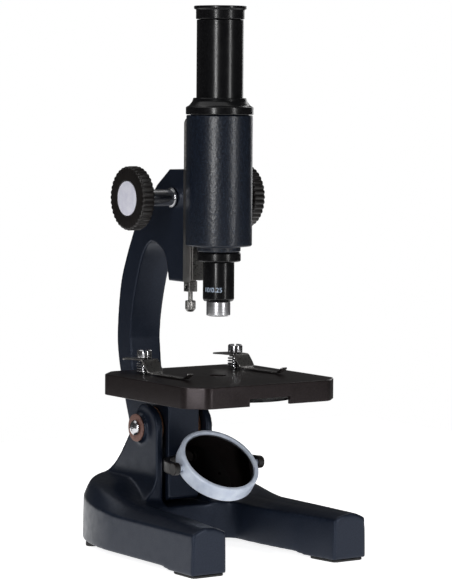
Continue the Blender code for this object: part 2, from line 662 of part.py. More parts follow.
def spring_path(radius, low, high, turns):
    """A compression spring's centre line with flat end turns."""
    points = []
    steps = int(turns * 11)
    for k in range(steps + 1):
        share = k / steps
        rise = min(1.0, max(0.0, (share * turns - 0.9) / (turns - 1.8)))
        a = 2 * math.pi * turns * share
        lead = 0.98 * (min(share * turns, 1) + max(0, min(1, share * turns - turns + 1)))
        z = low + lead + (high - low - 2 * 0.98) * rise
        points.append((radius * math.cos(a), radius * math.sin(a), z))
    return points


def build_clips():
    for side, word in ((-1, "left"), (1, "right")):
        x = side * CLIP_X
        swivel, clip = "clip_swivel_" + word, "clip_" + word
        spin = Matrix.Rotation(math.radians(CLIP_TURN_DEG[word]), 3, "Z")
        place = Vector((x, CLIP_Y, 0))
        points, faces = clip_plate()
        points = [tuple(spin @ Vector(p) + place) for p in points]
        plate = add("clip_plate_" + word, (points, faces), "steel", clip)
        boolean(plate, "DIFFERENCE", rod(2.1, 90, 100, (x, CLIP_Y)), clip)
        coil = [tuple(Vector(p) + place) for p in spring_path(3.45, 90.0, 95.2, 4.3)]
        add("clip_spring_" + word, tube_along(coil, 0.42, 5), "chrome", swivel)
        head = [(0, 78.0), (1.2, 78.0), (1.5, 78.3), (1.5, 97.3), (3.7, 97.3), (3.7, 100.9),
                (3.2, 101.4), (0, 101.4)]
        screw = add("clip_screw_" + word, turned(head, (x, CLIP_Y), segments=MEDIUM), "chrome",
                    swivel)
        boolean(screw, "DIFFERENCE", turn_shape(box((x - 0.6, CLIP_Y - 6, 100.2),
                                                    (x + 0.6, CLIP_Y + 6, 104)),
                                                Matrix.Rotation(math.radians(-32), 3, "Z"),
                                                (x, CLIP_Y, 100)), swivel)
        hexagon = arc((x, CLIP_Y), 3.4, 0, 300, 5)
        nut = add("clip_nut_" + word, prism(hexagon, 81.9, 84.9), "steel", swivel)
        boolean(nut, "DIFFERENCE", rod(1.8, 80, 87, (x, CLIP_Y)), swivel)


# ------------------------------------------------------------------------------- mirror
def build_mirror():
    centre = (MIRROR_X, MIRROR_Y)
    arms = arc(centre, YOKE_R, 0, 180, 14) + arc(centre, YOKE_BORE_R, 180, 0, 14)
    yoke = add("mirror_yoke", prism(arms, MIRROR_Z - 3, MIRROR_Z + 3, edge_low=0.7,
                                    edge_high=0.7, edge_steps=1), "black_plastic", "mirror_yoke")
    stem_rear_y = 38.5
    stem = turned([(0, 23.0), (3.6, 23.0), (3.6, 29.9), (2.4, 29.9), (2.4, stem_rear_y),
                   (0, stem_rear_y)], (MIRROR_X, MIRROR_Z), "Y", COARSE)
    boolean(yoke, "UNION", stem, "mirror_yoke")
    boss_r, boss_half = 3.2, 1.6
    for side in (-1, 1):
        x = MIRROR_X + side * (YOKE_BORE_R + YOKE_R) / 2
        boolean(yoke, "UNION", rod(boss_r, x - boss_half, x + boss_half, (MIRROR_Y, MIRROR_Z), "X"),
                "mirror_yoke")
    bearings = [rod(1.7, MIRROR_X + side * 20, MIRROR_X + side * (PIN_END + GAP),
                    (MIRROR_Y, MIRROR_Z), "X") for side in (-1, 1)]
    boolean(yoke, "DIFFERENCE", merged(bearings), "mirror_yoke")

    # The cell lies on its back here, and is then tilted to face forwards and up.
    tilt = Matrix.Rotation(MIRROR_TILT, 3, "X")
    hub = (MIRROR_X, MIRROR_Y, MIRROR_Z)

    def level(profile):
        return [(r, MIRROR_Z + h) for r, h in profile]

    ring = [(16.8, 0.8), (18.6, 0.8), (18.6, 4.2), (20.2, 4.2), (CELL_R, 3.5),
            (CELL_R, -3.5), (20.2, -4.2), (18.6, -4.2), (18.6, -0.8), (16.8, -0.8)]
    cell_shape = turned(level(ring), centre, segments=FINEST, hollow=True)
    cell = add("mirror_cell", turn_shape(cell_shape, tilt, hub), "mirror_plastic", "mirror")
    for side in (-1, 1):
        pin = rod(1.35, MIRROR_X + side * 19.6, MIRROR_X + side * PIN_END, (MIRROR_Y, MIRROR_Z), "X")
        boolean(cell, "UNION", pin, "mirror")
    face = [(0, 1.1), (18.3, 1.1), (18.3, 3.1), (0, 3.1)]
    add("mirror_flat_glass", turn_shape(turned(level(face), centre, segments=FINE), tilt, hub),
        "mirror_glass", "mirror")
    bowl = [(0, -1.1), (18.3, -1.1), (18.3, -3.6), (10.0, -2.9), (0, -2.6)]
    add("mirror_concave_glass", turn_shape(turned(level(bowl), centre, segments=FINE), tilt, hub),
        "mirror_glass", "mirror")


# --------------------------------------------------------------------------------- tube
def build_tube():
    shell = [(TUBE_BORE_R, TUBE_TOP_Z), (TUBE_R, TUBE_TOP_Z), (TUBE_R, TUBE_BOTTOM_Z + 0.6),
             (TUBE_R - 0.6, TUBE_BOTTOM_Z), (10.85, TUBE_BOTTOM_Z), (10.85, 151.0), (8.3, 151.0),
             (8.3, 156.0), (TUBE_BORE_R, 156.0)]
    tube = add("body_tube", turned(shell, hollow=True), "blue_hammertone", "tube")
    screw_z = 206.0
    boolean(tube, "DIFFERENCE", rod(1.5, 10, 20, (0, screw_z), "Y"), "tube")
    collar = [(10.6, 190.0), (14.3, 190.0), (14.3, 218.8), (16.75, 218.8), (16.75, 222.4),
              (15.2, 223.2), (13.6, 225.2), (13.1, 227.0), (11.9, 227.0), (11.9, 191.4),
              (10.6, 191.4)]
    add("tube_collar", turned(collar, hollow=True), "black_metal", "tube")

    ring = [(7.3, 146.05), (10.4, 146.05), (10.95, 146.6), (10.95, 150.2), (10.4, 150.7),
            (7.3, 150.7)]
    add("nosepiece_ring", turned(ring, segments=FINE, hollow=True), "black_metal", "tube")
    barrel = [(4.2, 126.4), (7.2, 126.4), (7.8, 127.6), (7.8, 145.75), (7.0, 145.75),
              (7.0, 158.0), (6.0, 158.0), (6.0, 134.2), (4.2, 134.2)]
    add("objective_barrel", turned(barrel, segments=FINE, hollow=True), "black_metal", "tube")
    tip = [(1.6, 119.0), (5.5, 119.0), (5.96, 119.5), (5.96, 126.1), (3.9, 126.1),
           (3.9, 133.6), (2.9, 133.6), (2.9, 120.6), (1.6, 120.6)]
    add("objective_tip", turned(tip, segments=FINE, hollow=True), "aluminium", "tube")
    front_lens = [(0, 120.9), (2.6, 120.9), (2.6, 121.7), (1.6, 122.4), (0, 122.8)]
    add("objective_front_lens", turned(front_lens, segments=COARSE), "glass", "tube")
    rear_lens = [(0, 134.5), (5.7, 134.5), (5.7, 136.2), (3.4, 137.0), (0, 137.4)]
    add("objective_rear_lens", turned(rear_lens, segments=MEDIUM), "glass", "tube")

    half_neck, half_tail = SLIDE_NECK_HALF, SLIDE_TAIL_HALF
    section = [(-half_neck, SLIDE_FRONT_Y), (half_neck, SLIDE_FRONT_Y), (half_neck, 18.6),
               (half_tail, 21.9), (half_tail, SLIDE_BACK_Y), (-half_tail, SLIDE_BACK_Y),
               (-half_tail, 21.9), (-half_neck, 18.6)]
    slide = add("dovetail_slide", prism(section, *SLIDE_Z), "steel", "tube")
    shoulder = 3.5
    crown = [(-half_tail - 0.05, 120), (half_tail + 0.05, 120)]
    crown += [(half_tail + 0.05, SLIDE_Z[1] - shoulder)]
    crown += arc((half_tail - shoulder, SLIDE_Z[1] - shoulder - 0.05), shoulder, 0, 90, 5)[1:]
    crown += arc((shoulder - half_tail, SLIDE_Z[1] - shoulder - 0.05), shoulder, 90, 180, 5)[:-1]
    crown += [(-half_tail - 0.05, SLIDE_Z[1] - shoulder)]
    boolean(slide, "INTERSECT", prism(crown, 10, 30, "Y"), "tube")
    drill = turned([(0, 10), (1.5, 10), (1.5, 19.6), (2.9, 19.6), (2.9, 30), (0, 30)],
                   (0, screw_z), "Y", COARSE)
    boolean(slide, "DIFFERENCE", drill, "tube")
    screw = [(0, 14.9), (1.2, 14.9), (1.2, 19.9), (2.6, 19.9), (2.6, 21.9), (0, 21.9)]
    add("slide_screw", turned(screw, (0, screw_z), "Y", COARSE), "steel", "tube")
    build_rack()


def build_rack():
    """A 24-tooth rack on the back of the slide, its teeth facing the pinion."""
    pitch = math.pi * GEAR_MODULE
    root_y, tip_y = RACK_PITCH_Y - DEDENDUM, RACK_PITCH_Y + ADDENDUM
    lean = math.tan(PRESSURE_ANGLE)
    root_half = TOOTH_AT_PITCH / 2 + DEDENDUM * lean
    tip_half = TOOTH_AT_PITCH / 2 - ADDENDUM * lean
    teeth_below = 8
    low = PINION_Z - teeth_below * pitch - pitch / 2
    high = low + RACK_TEETH * pitch
    outline = [(SLIDE_BACK_Y + GAP, low), (root_y, low)]
    for k in range(RACK_TEETH):
        middle = low + (k + 0.5) * pitch
        outline += [(root_y, middle - root_half), (tip_y, middle - tip_half),
                    (tip_y, middle + tip_half), (root_y, middle + root_half)]
    outline += [(root_y, high), (SLIDE_BACK_Y + GAP, high)]
    add("rack", prism(outline, -3.0, 3.0, "X"), "steel", "tube")


def pinion_outline():
    """Twelve involute teeth with a gap facing the rack tooth at rest."""
    base_r = PITCH_R * math.cos(PRESSURE_ANGLE)
    root_r, tip_r = PITCH_R - DEDENDUM, PITCH_R + PINION_ADDENDUM

    def involute(radius):
        angle = math.acos(min(1.0, base_r / radius))
        return math.tan(angle) - angle

    half_at_pitch = TOOTH_AT_PITCH / 2 / PITCH_R
    flank = []
    for k in range(4):
        radius = base_r + (tip_r - base_r) * k / 3
        flank.append((radius, half_at_pitch + involute(PITCH_R) - involute(radius)))
    flank.insert(0, (root_r, flank[0][1] + 0.02))
    points = []
    for tooth in range(PINION_TEETH):
        middle = math.pi + (tooth + 0.5) * 2 * math.pi / PINION_TEETH
        for radius, half in flank:
            points.append((radius, middle - half))
        for radius, half in reversed(flank):
            points.append((radius, middle + half))
    return [(PINION_Y + r * math.cos(a), PINION_Z + r * math.sin(a)) for r, a in points]


def build_focus():
    shaft = add("pinion_shaft", rod(SHAFT_R, -35.2, 35.2, (PINION_Y, PINION_Z), "X"),
                "steel", "focus_knobs")
    boolean(shaft, "UNION", prism(pinion_outline(), -3.1, 3.1, "X"), "focus_knobs")
    rim = []
    for k in range(2 * KNOB_RIDGES):
        angle = math.pi * k / KNOB_RIDGES
        radius = KNOB_R if k % 2 else KNOB_R - RIDGE_DEPTH
        rim.append((PINION_Y + radius * math.cos(angle), PINION_Z + radius * math.sin(angle)))
    for side, word in ((-1, "left"), (1, "right")):
        low, high = sorted((side * KNOB_X[0], side * KNOB_X[1]))
        knob = add("focus_knob_" + word, prism(rim, low, high, "X"), "black_plastic",
                   "focus_knobs")
        recess = [(0, side * 35.4), (8.9, side * 35.4), (8.9, side * 40), (0, side * 40)]
        back = [(6.6, side * 25), (13.2, side * 25), (13.2, side * 32.5), (6.6, side * 32.5)]
        bore = rod(2.5, side * 25, side * 38, (PINION_Y, PINION_Z), "X")
        boolean(knob, "DIFFERENCE", turned(recess, (PINION_Y, PINION_Z), "X", MEDIUM), "focus_knobs")
        boolean(knob, "DIFFERENCE", turned(back, (PINION_Y, PINION_Z), "X", MEDIUM, True),
                "focus_knobs")
        boolean(knob, "DIFFERENCE", bore, "focus_knobs")
        cap = [(0, side * 35.7), (8.6, side * 35.7), (8.6, side * 36.65), (0, side * 36.65)]
        add("knob_cap_" + word, turned(cap, (PINION_Y, PINION_Z), "X", MEDIUM), "cap_white",
            "focus_knobs")


def build_eyepiece():
    barrel = [(9.0, 191.7), (11.1, 191.7), (EYEPIECE_R, 192.3), (EYEPIECE_R, 265.4),
              (10.1, 265.4), (10.1, 193.4), (9.0, 193.4)]
    add("eyepiece_barrel", turned(barrel, hollow=True), "black_metal", "eyepiece")
    head = [(8.4, 257.0), (9.8, 257.0), (9.8, 265.7), (12.0, 265.7), (12.0, 270.4),
            (13.0, 270.7), (13.0, EYEPIECE_TOP_Z), (7.4, EYEPIECE_TOP_Z), (4.9, 270.2),
            (4.9, 269.0), (8.4, 269.0)]
    add("eyepiece_head", turned(head, hollow=True), "black_metal", "eyepiece")
    eye_lens = [(0, 265.0), (8.1, 265.6), (8.1, 267.6), (5.0, 268.4), (0, 268.7)]
    add("eye_lens", turned(eye_lens, segments=MEDIUM), "glass", "eyepiece")
    add("eye_lens_ring", turned([(6.6, 262.6), (8.1, 262.6), (8.1, 264.8), (6.6, 264.8)],
                                segments=MEDIUM, hollow=True), "black_metal", "eyepiece")
    field_lens = [(0, 194.0), (9.8, 194.6), (9.8, 196.0), (5.6, 197.8), (0, 198.6)]
    add("field_lens", turned(field_lens, segments=MEDIUM), "glass", "eyepiece")
    add("field_lens_ring", turned([(8.8, 198.2), (9.8, 198.2), (9.8, 200.6), (8.8, 200.6)],
                                  segments=MEDIUM, hollow=True), "black_metal", "eyepiece")
    add("field_stop", turned([(6.0, 236.0), (9.8, 236.0), (9.8, 237.4), (6.0, 236.6)],
                             segments=MEDIUM, hollow=True), "black_metal", "eyepiece")


def build_stop_screw():
    rod_profile = [(0, 123.2), (1.15, 123.2), (1.15, 137.2), (0.8, 137.7), (0, 137.7)]
    add("stop_screw_rod", turned(rod_profile, (0, STOP_Y), segments=COARSE), "steel", "stop_screw")
    head = [(0, 119.0), (1.6, 119.3), (2.65, 120.6), (2.65, 124.6), (2.35, 124.9),
            (1.45, 124.9), (1.45, 122.9), (0, 122.9)]
    add("stop_screw_head", turned(head, (0, STOP_Y), segments=MEDIUM), "steel", "stop_head")


def main():
    for leftover in list(bpy.data.objects):
        bpy.data.objects.remove(leftover, do_unlink=True)
    add_joint_empties()
    build_base()
    build_arm()
    build_stage()
    build_clips()
    build_mirror()
    build_tube()
    build_focus()
    build_eyepiece()
    build_stop_screw()


main()
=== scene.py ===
"""Looks of a school microscope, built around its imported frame.

Sizes here are design millimetres: the optical axis is X 0, Y 0 and the table is Z 0.
"""

import json
import math

import bmesh
import bpy
from mathutils import Matrix, Vector

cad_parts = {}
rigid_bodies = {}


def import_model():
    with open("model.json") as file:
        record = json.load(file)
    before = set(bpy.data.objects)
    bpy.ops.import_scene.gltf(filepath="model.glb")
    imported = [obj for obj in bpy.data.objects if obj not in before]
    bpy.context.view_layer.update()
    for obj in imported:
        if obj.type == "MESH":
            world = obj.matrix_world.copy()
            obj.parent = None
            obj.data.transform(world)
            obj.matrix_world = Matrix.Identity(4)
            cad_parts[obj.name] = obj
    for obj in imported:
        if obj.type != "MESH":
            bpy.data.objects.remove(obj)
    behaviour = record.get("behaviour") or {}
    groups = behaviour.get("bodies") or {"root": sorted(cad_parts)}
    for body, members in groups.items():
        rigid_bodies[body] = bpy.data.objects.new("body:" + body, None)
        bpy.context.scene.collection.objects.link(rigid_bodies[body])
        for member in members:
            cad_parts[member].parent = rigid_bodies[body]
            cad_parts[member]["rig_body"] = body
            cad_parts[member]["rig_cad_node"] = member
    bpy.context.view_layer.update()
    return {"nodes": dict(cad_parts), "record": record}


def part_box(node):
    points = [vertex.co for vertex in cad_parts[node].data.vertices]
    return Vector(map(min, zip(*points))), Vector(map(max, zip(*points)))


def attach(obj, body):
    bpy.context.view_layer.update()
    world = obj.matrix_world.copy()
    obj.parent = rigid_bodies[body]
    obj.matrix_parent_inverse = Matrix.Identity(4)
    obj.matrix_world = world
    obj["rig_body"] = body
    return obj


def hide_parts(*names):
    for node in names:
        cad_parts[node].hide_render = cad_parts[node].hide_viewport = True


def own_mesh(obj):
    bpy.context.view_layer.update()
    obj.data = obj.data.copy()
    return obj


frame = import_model()

MM = 0.001
tube_low, tube_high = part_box("body_tube")
OPTICAL_AXIS = Vector(((tube_low.x + tube_high.x) / 2, (tube_low.y + tube_high.y) / 2, 0))
SLOT_OF = {row["node"]: row["material_slot"] for row in frame["record"]["subparts"]}
BODY_OF = {node: body for body, nodes in frame["record"]["behaviour"]["bodies"].items()
           for node in nodes}
ROUND = 96


def place(point):
    """Design millimetres to metres in the row frame."""
    return OPTICAL_AXIS + Vector(point) * MM


def middle_of(node):
    """The middle of a CAD node's box, in design millimetres."""
    low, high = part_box(node)
    return ((low + high) / 2 - OPTICAL_AXIS) / MM


# ------------------------------------------------------------------------- materials
def new_material(name, colour, roughness, metallic=0.0):
    material = bpy.data.materials.new(name)
    material.use_nodes = True
    shader = material.node_tree.nodes["Principled BSDF"]
    shader.inputs["Base Color"].default_value = (*colour, 1)
    shader.inputs["Roughness"].default_value = roughness
    shader.inputs["Metallic"].default_value = metallic
    return material, material.node_tree, shader


def position(tree):
    return tree.nodes.new("ShaderNodeTexCoord").outputs["Object"]


def noise(tree, scale, detail=3.0, stretch=None):
    """Noise with a scale in cells per metre, stretched along an axis if asked."""
    node = tree.nodes.new("ShaderNodeTexNoise")
    node.inputs["Scale"].default_value = scale
    node.inputs["Detail"].default_value = detail
    source = position(tree)
    if stretch:
        mapping = tree.nodes.new("ShaderNodeMapping")
        mapping.inputs["Scale"].default_value = stretch
        tree.links.new(source, mapping.inputs["Vector"])
        source = mapping.outputs["Vector"]
    tree.links.new(source, node.inputs["Vector"])
    return node.outputs["Fac"]


def ramp(tree, source, stops):
    """A colour ramp; stops are (position, colour)."""
    node = tree.nodes.new("ShaderNodeValToRGB")
    while len(node.color_ramp.elements) < len(stops):
        node.color_ramp.elements.new(0.5)
    for element, (where, colour) in zip(node.color_ramp.elements, stops):
        element.position = where
        element.color = (*colour, 1)
    tree.links.new(source, node.inputs["Fac"])
    return node.outputs["Color"]


def spread(tree, source, low, high):
    node = tree.nodes.new("ShaderNodeMapRange")
    node.inputs["From Min"].default_value = 0.3
    node.inputs["From Max"].default_value = 0.7
    node.inputs["To Min"].default_value = low
    node.inputs["To Max"].default_value = high
    tree.links.new(source, node.inputs["Value"])
    return node.outputs["Result"]


def bump(tree, shader, source, strength, height_mm):
    node = tree.nodes.new("ShaderNodeBump")
    node.inputs["Strength"].default_value = strength
    node.inputs["Distance"].default_value = height_mm * MM
    tree.links.new(source, node.inputs["Height"])
    tree.links.new(node.outputs["Normal"], shader.inputs["Normal"])


def paint(name, dark, light, rough, grain, height_mm, metallic=0.0, specular=0.5,
          tint=(1, 1, 1)):
    """Paint or lacquer with mottled colour, uneven gloss and a fine skin."""
    material, tree, shader = new_material(name, dark, rough[0], metallic)
    mottle = noise(tree, grain, 4.0)
    tree.links.new(ramp(tree, mottle, [(0.35, dark), (0.68, light)]), shader.inputs["Base Color"])
    gloss = spread(tree, noise(tree, grain / 6), *rough)
    tree.links.new(gloss, shader.inputs["Roughness"])
    shader.inputs["Specular IOR Level"].default_value = specular
    shader.inputs["Specular Tint"].default_value = (*tint, 1)
    bump(tree, shader, mottle, 0.5, height_mm)
    return material


def metal(name, colour, rough, grain, height_mm, stretch):
    """Bare metal with fine machining lines along the stretched axis."""
    material, tree, shader = new_material(name, colour, rough[0], 1.0)
    lines = noise(tree, grain, 2.0, stretch)
    shade = tuple(0.82 * c for c in colour)
    tree.links.new(ramp(tree, lines, [(0.3, shade), (0.7, colour)]), shader.inputs["Base Color"])
    tree.links.new(spread(tree, lines, *rough), shader.inputs["Roughness"])
    bump(tree, shader, lines, 0.3, height_mm)
    return material


def hammertone():
    """Navy paint with shallow dimples and a fine metallic sparkle."""
    material, tree, shader = new_material("hammertone_navy", (0.006, 0.011, 0.023), 0.34, 0.0)
    cells = tree.nodes.new("ShaderNodeTexVoronoi")
    cells.feature = "SMOOTH_F1"
    cells.inputs["Scale"].default_value = 750
    tree.links.new(position(tree), cells.inputs["Vector"])
    fine = noise(tree, 3800, 2.0)
    colour = ramp(tree, fine, [(0.42, (0.0025, 0.004, 0.009)), (0.60, (0.004, 0.007, 0.015)),
                               (0.70, (0.05, 0.08, 0.13))])
    tree.links.new(colour, shader.inputs["Base Color"])
    tree.links.new(spread(tree, fine, 0.26, 0.40), shader.inputs["Roughness"])
    shader.inputs["Specular IOR Level"].default_value = 0.5
    bump(tree, shader, cells.outputs["Distance"], 0.5, 0.16)
    return material


def clear_glass():
    material, tree, shader = new_material("lens_glass", (0.92, 0.96, 0.97), 0.02)
    shader.inputs["Transmission Weight"].default_value = 1.0
    shader.inputs["IOR"].default_value = 1.52
    tint = ramp(tree, noise(tree, 300), [(0.3, (0.90, 0.95, 0.97)), (0.7, (0.95, 0.97, 0.98))])
    tree.links.new(tint, shader.inputs["Base Color"])
    return material


MATERIALS = {
    "blue_hammertone": hammertone(),
    "blue_satin": paint("cast_navy", (0.0045, 0.007, 0.014), (0.009, 0.013, 0.023), (0.30, 0.40),
                        1500, 0.02, 0.0, 0.32, (0.72, 0.80, 1.0)),
    "black_metal": paint("black_lacquer", (0.0025, 0.0025, 0.003), (0.006, 0.006, 0.007),
                         (0.20, 0.27), 900, 0.008, 0.0, 0.35),
    "stage_black": paint("stage_lacquer", (0.007, 0.005, 0.005), (0.014, 0.011, 0.011),
                         (0.28, 0.34), 1200, 0.002, 0.0, 0.3, (1.0, 0.88, 0.92)),
    "black_plastic": paint("knob_plastic", (0.005, 0.004, 0.004), (0.011, 0.009, 0.008),
                           (0.32, 0.42), 1400, 0.015, 0.0, 0.35),
    "mirror_plastic": paint("mirror_plastic", (0.50, 0.56, 0.68), (0.62, 0.68, 0.78),
                            (0.25, 0.34), 250, 0.01),
    "cap_white": paint("cap_plastic", (0.66, 0.66, 0.76), (0.76, 0.76, 0.84), (0.30, 0.38),
                       300, 0.005),
    "chrome": metal("chrome", (0.62, 0.62, 0.64), (0.16, 0.22), 300, 0.0003, (1, 1, 1)),
    "steel": metal("machined_steel", (0.36, 0.35, 0.34), (0.26, 0.33), 1200, 0.0004,
                   (1, 0.15, 1)),
    "aluminium": metal("turned_aluminium", (0.72, 0.72, 0.74), (0.28, 0.34), 3000, 0.0015,
                       (0.02, 0.02, 1)),
    "bronze": paint("bronze_washer", (0.15, 0.075, 0.06), (0.24, 0.13, 0.105), (0.35, 0.5), 900,
                    0.004, 0.6),
    "rubber": paint("pad_rubber", (0.010, 0.010, 0.010), (0.020, 0.020, 0.020), (0.7, 0.85),
                    1500, 0.04),
    "fibre": paint("fibre_washer", (0.16, 0.07, 0.04), (0.30, 0.15, 0.08), (0.75, 0.9), 2000, 0.05),
    "glass": clear_glass(),
    "mirror_glass": metal("silvered_glass", (0.070, 0.066, 0.064), (0.02, 0.04), 200, 0.0005,
                          (1, 1, 1)),
}


# ------------------------------------------------------------------------ making pieces
def soften(points, radius, closed, steps=4):
    """A polyline with its corners rounded; each corner takes at most 0.45 of its sides."""
    result = []
    count = len(points)
    for i, corner in enumerate(points):
        if not closed and i in (0, count - 1):
            result.append(tuple(corner))
            continue
        here = Vector(corner)
        to_last, to_next = Vector(points[i - 1]) - here, Vector(points[(i + 1) % count]) - here
        if to_last.length < 1e-6 or to_next.length < 1e-6 or to_last.angle(to_next) > 3.05:
            result.append(tuple(here))
            continue
        reach = min(radius, 0.45 * to_last.length, 0.45 * to_next.length)
        start, end = here + to_last.normalized() * reach, here + to_next.normalized() * reach
        for k in range(steps + 1):
            t = k / steps
            result.append(tuple(start * (1 - t) ** 2 + here * 2 * t * (1 - t) + end * t * t))
    return result


def on_axis(axis, a, b, along):
    return {"X": (along, a, b), "Y": (a, along, b), "Z": (a, b, along)}[axis]


def turned(profile, centre=(0, 0), axis="Z", closed=False, segments=ROUND):
    """A (radius, height) profile turned about an axis."""
    points, rings, faces = [], [], []
    for radius, height in profile:
        if radius < 1e-6:
            rings.append([len(points)])
            points.append(on_axis(axis, centre[0], centre[1], height))
            continue
        rings.append(list(range(len(points), len(points) + segments)))
        for k in range(segments):
            a = 2 * math.pi * k / segments
            points.append(on_axis(axis, centre[0] + radius * math.cos(a),
                                  centre[1] + radius * math.sin(a), height))
    for r in range(len(rings) if closed else len(rings) - 1):
        low, high = rings[r], rings[(r + 1) % len(rings)]
        for i in range(segments):
            j = (i + 1) % segments
            if len(low) == 1:
                faces.append((low[0], high[j], high[i]))
            elif len(high) == 1:
                faces.append((low[i], low[j], high[0]))
            else:
                faces.append((low[i], low[j], high[j], high[i]))
    return points, faces


def loft(rings):
    count = len(rings[0])
    points = [p for ring in rings for p in ring]
    faces = [(r * count + i, r * count + (i + 1) % count, (r + 1) * count + (i + 1) % count,
              (r + 1) * count + i) for r in range(len(rings) - 1) for i in range(count)]
    return points, faces + [tuple(range(count)), tuple(range(len(points) - count, len(points)))]


def prism(outline, low, high, axis="Z"):
    return loft([[on_axis(axis, p[0], p[1], level) for p in outline] for level in (low, high)])


def oblong(low_a, low_b, high_a, high_b):
    """The four corners of a rectangle."""
    return [(low_a, low_b), (high_a, low_b), (high_a, high_b), (low_a, high_b)]


def rod(radius, low, high, centre, axis="Z", segments=48):
    """A cylinder along an axis."""
    profile = [(0, low), (radius, low), (radius, high), (0, high)]
    return turned(profile, centre, axis, False, segments)


def solid(name, shape):
    """A mesh object in the row frame, its faces pointing out."""
    bm = bmesh.new()
    corners = [bm.verts.new(place(p)) for p in shape[0]]
    for face in shape[1]:
        bm.faces.new([corners[i] for i in face])
    bmesh.ops.recalc_face_normals(bm, faces=bm.faces)
    if bm.calc_volume(signed=True) < 0:
        bmesh.ops.reverse_faces(bm, faces=bm.faces)
    mesh = bpy.data.meshes.new(name)
    bm.to_mesh(mesh)
    bm.free()
    result = bpy.data.objects.new(name, mesh)
    bpy.context.scene.collection.objects.link(result)
    return result


def dress(piece, node, sharp_deg=40):
    """The piece stands for a CAD node: it takes the node's body, slot and material."""
    piece.data.shade_smooth()
    piece.data.set_sharp_from_angle(angle=math.radians(sharp_deg))
    piece.data.materials.clear()
    piece.data.materials.append(MATERIALS[SLOT_OF[node]])
    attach(piece, BODY_OF[node])
    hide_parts(node)


def apply_modifiers(piece):
    graph = bpy.context.evaluated_depsgraph_get()
    piece.data = bpy.data.meshes.new_from_object(piece.evaluated_get(graph))
    piece.modifiers.clear()


def boolean(piece, operation, shape):
    tool = solid("tool", shape)
    step = piece.modifiers.new(operation.lower(), "BOOLEAN")
    step.operation, step.solver, step.object = operation, "EXACT", tool
    apply_modifiers(piece)
    bpy.data.objects.remove(tool)


def cast_skin(piece, voxel_mm, passes):
    """The soft edges of a painted casting: an even remesh, then a few smoothing passes."""
    remesh = piece.modifiers.new("remesh", "REMESH")
    remesh.mode, remesh.voxel_size = "VOXEL", voxel_mm * MM
    smooth = piece.modifiers.new("smooth", "SMOOTH")
    smooth.factor, smooth.iterations = 0.5, passes
    apply_modifiers(piece)


# ------------------------------------------------------------- turned pieces of the frame
def frame_profile(node, axis):
    """The (radius, height) profile of a turned CAD node, read along one of its facet rows."""
    index = "XYZ".index(axis)
    first, second = [i for i in range(3) if i != index]
    centre = middle_of(node)
    bm = bmesh.new()
    bm.from_mesh(frame["nodes"][node].data)
    bmesh.ops.remove_doubles(bm, verts=bm.verts, dist=1e-6)
    near = {}
    for v in bm.verts:
        p = (v.co - OPTICAL_AXIS) / MM
        if abs(p[second] - centre[second]) < 0.004 and p[first] - centre[first] > -0.004:
            near[v] = (max(0.0, p[first] - centre[first]), p[index])
    links = {v: [e.other_vert(v) for e in v.link_edges if e.other_vert(v) in near] for v in near}
    start = min(links, key=lambda v: (len(links[v]), near[v][1], near[v][0]))
    chain, here, last = [start], start, None
    while True:
        onward = [v for v in links[here] if v is not last and v not in chain[1:]]
        onward = [v for v in onward if v is not start or len(chain) > 2]
        if not onward or onward[0] is start:
            break
        last, here = here, onward[0]
        chain.append(here)
    closed = len(links[start]) > 1
    points = [near[v] for v in chain]
    bm.free()
    if not closed:
        points = [(0.0, points[0][1])] * (points[0][0] > 0.01) + points
        points = points + [(0.0, points[-1][1])] * (points[-1][0] > 0.01)
    return points, closed, (centre[first], centre[second])


def turn_again(node, axis, edge_mm, segments=ROUND):
    """A fine version of a turned CAD node, with its edges eased."""
    profile, closed, centre = frame_profile(node, axis)
    shape = turned(soften(profile, edge_mm, closed), centre, axis, closed, segments)
    dress(solid(node + "_fine", shape), node)


TURNED = [("body_tube", "Z", 0.7), ("tube_collar", "Z", 0.4), ("nosepiece_ring", "Z", 0.3),
          ("objective_barrel", "Z", 0.3), ("objective_tip", "Z", 0.25),
          ("eyepiece_barrel", "Z", 0.4), ("eyepiece_head", "Z", 0.4),
          ("pinion_sleeve_left", "X", 0.3), ("pinion_sleeve_right", "X", 0.3),
          ("pivot_washer_left", "X", 0.15), ("pivot_washer_right", "X", 0.15),
          ("stop_screw_rod", "Z", 0.2), ("knob_cap_left", "X", 0.3), ("knob_cap_right", "X", 0.3),
          ("eye_lens", "Z", 0.2), ("foot_pad_rear_left", "Z", 0.3),
          ("foot_pad_rear_right", "Z", 0.3)]


def build_turned():
    for node, axis, edge in TURNED:
        turn_again(node, axis, edge)


# ------------------------------------------------------ places that several pieces share
PIVOT, PIVOT_HOLE_R = (44.8, 59.4), 3.3
KNOB_AXIS = (27.8, 176.9)
STAGE_SCREW_X, STAGE_SCREW_Y = 15, 36.4
CLIP_X, CLIP_Y = 27.5, 25.0


# -------------------------------------------------------------------------------- base
BASE_FRONT_Y, BASE_REAR_Y, BASE_HALF = -55.5, 90.0, 51.5
ARC_START_Y, EDGE_Z = 18.0, 21.0
EAR_INNER, EAR_OUTER, EAR_FRONT_Y = 13.2, 17.0, 29.4
BOSS_R, BOSS_FACE_X = 7.2, 19.0
FLARE_R, FLARE_FOOT_Z = 16.3, 21.5
ARM_HALF = 9.3


def arc(centre, radius, start_deg, end_deg, steps):
    angles = [math.radians(start_deg + (end_deg - start_deg) * k / steps) for k in range(steps + 1)]
    return [(centre[0] + radius * math.cos(a), centre[1] + radius * math.sin(a)) for a in angles]


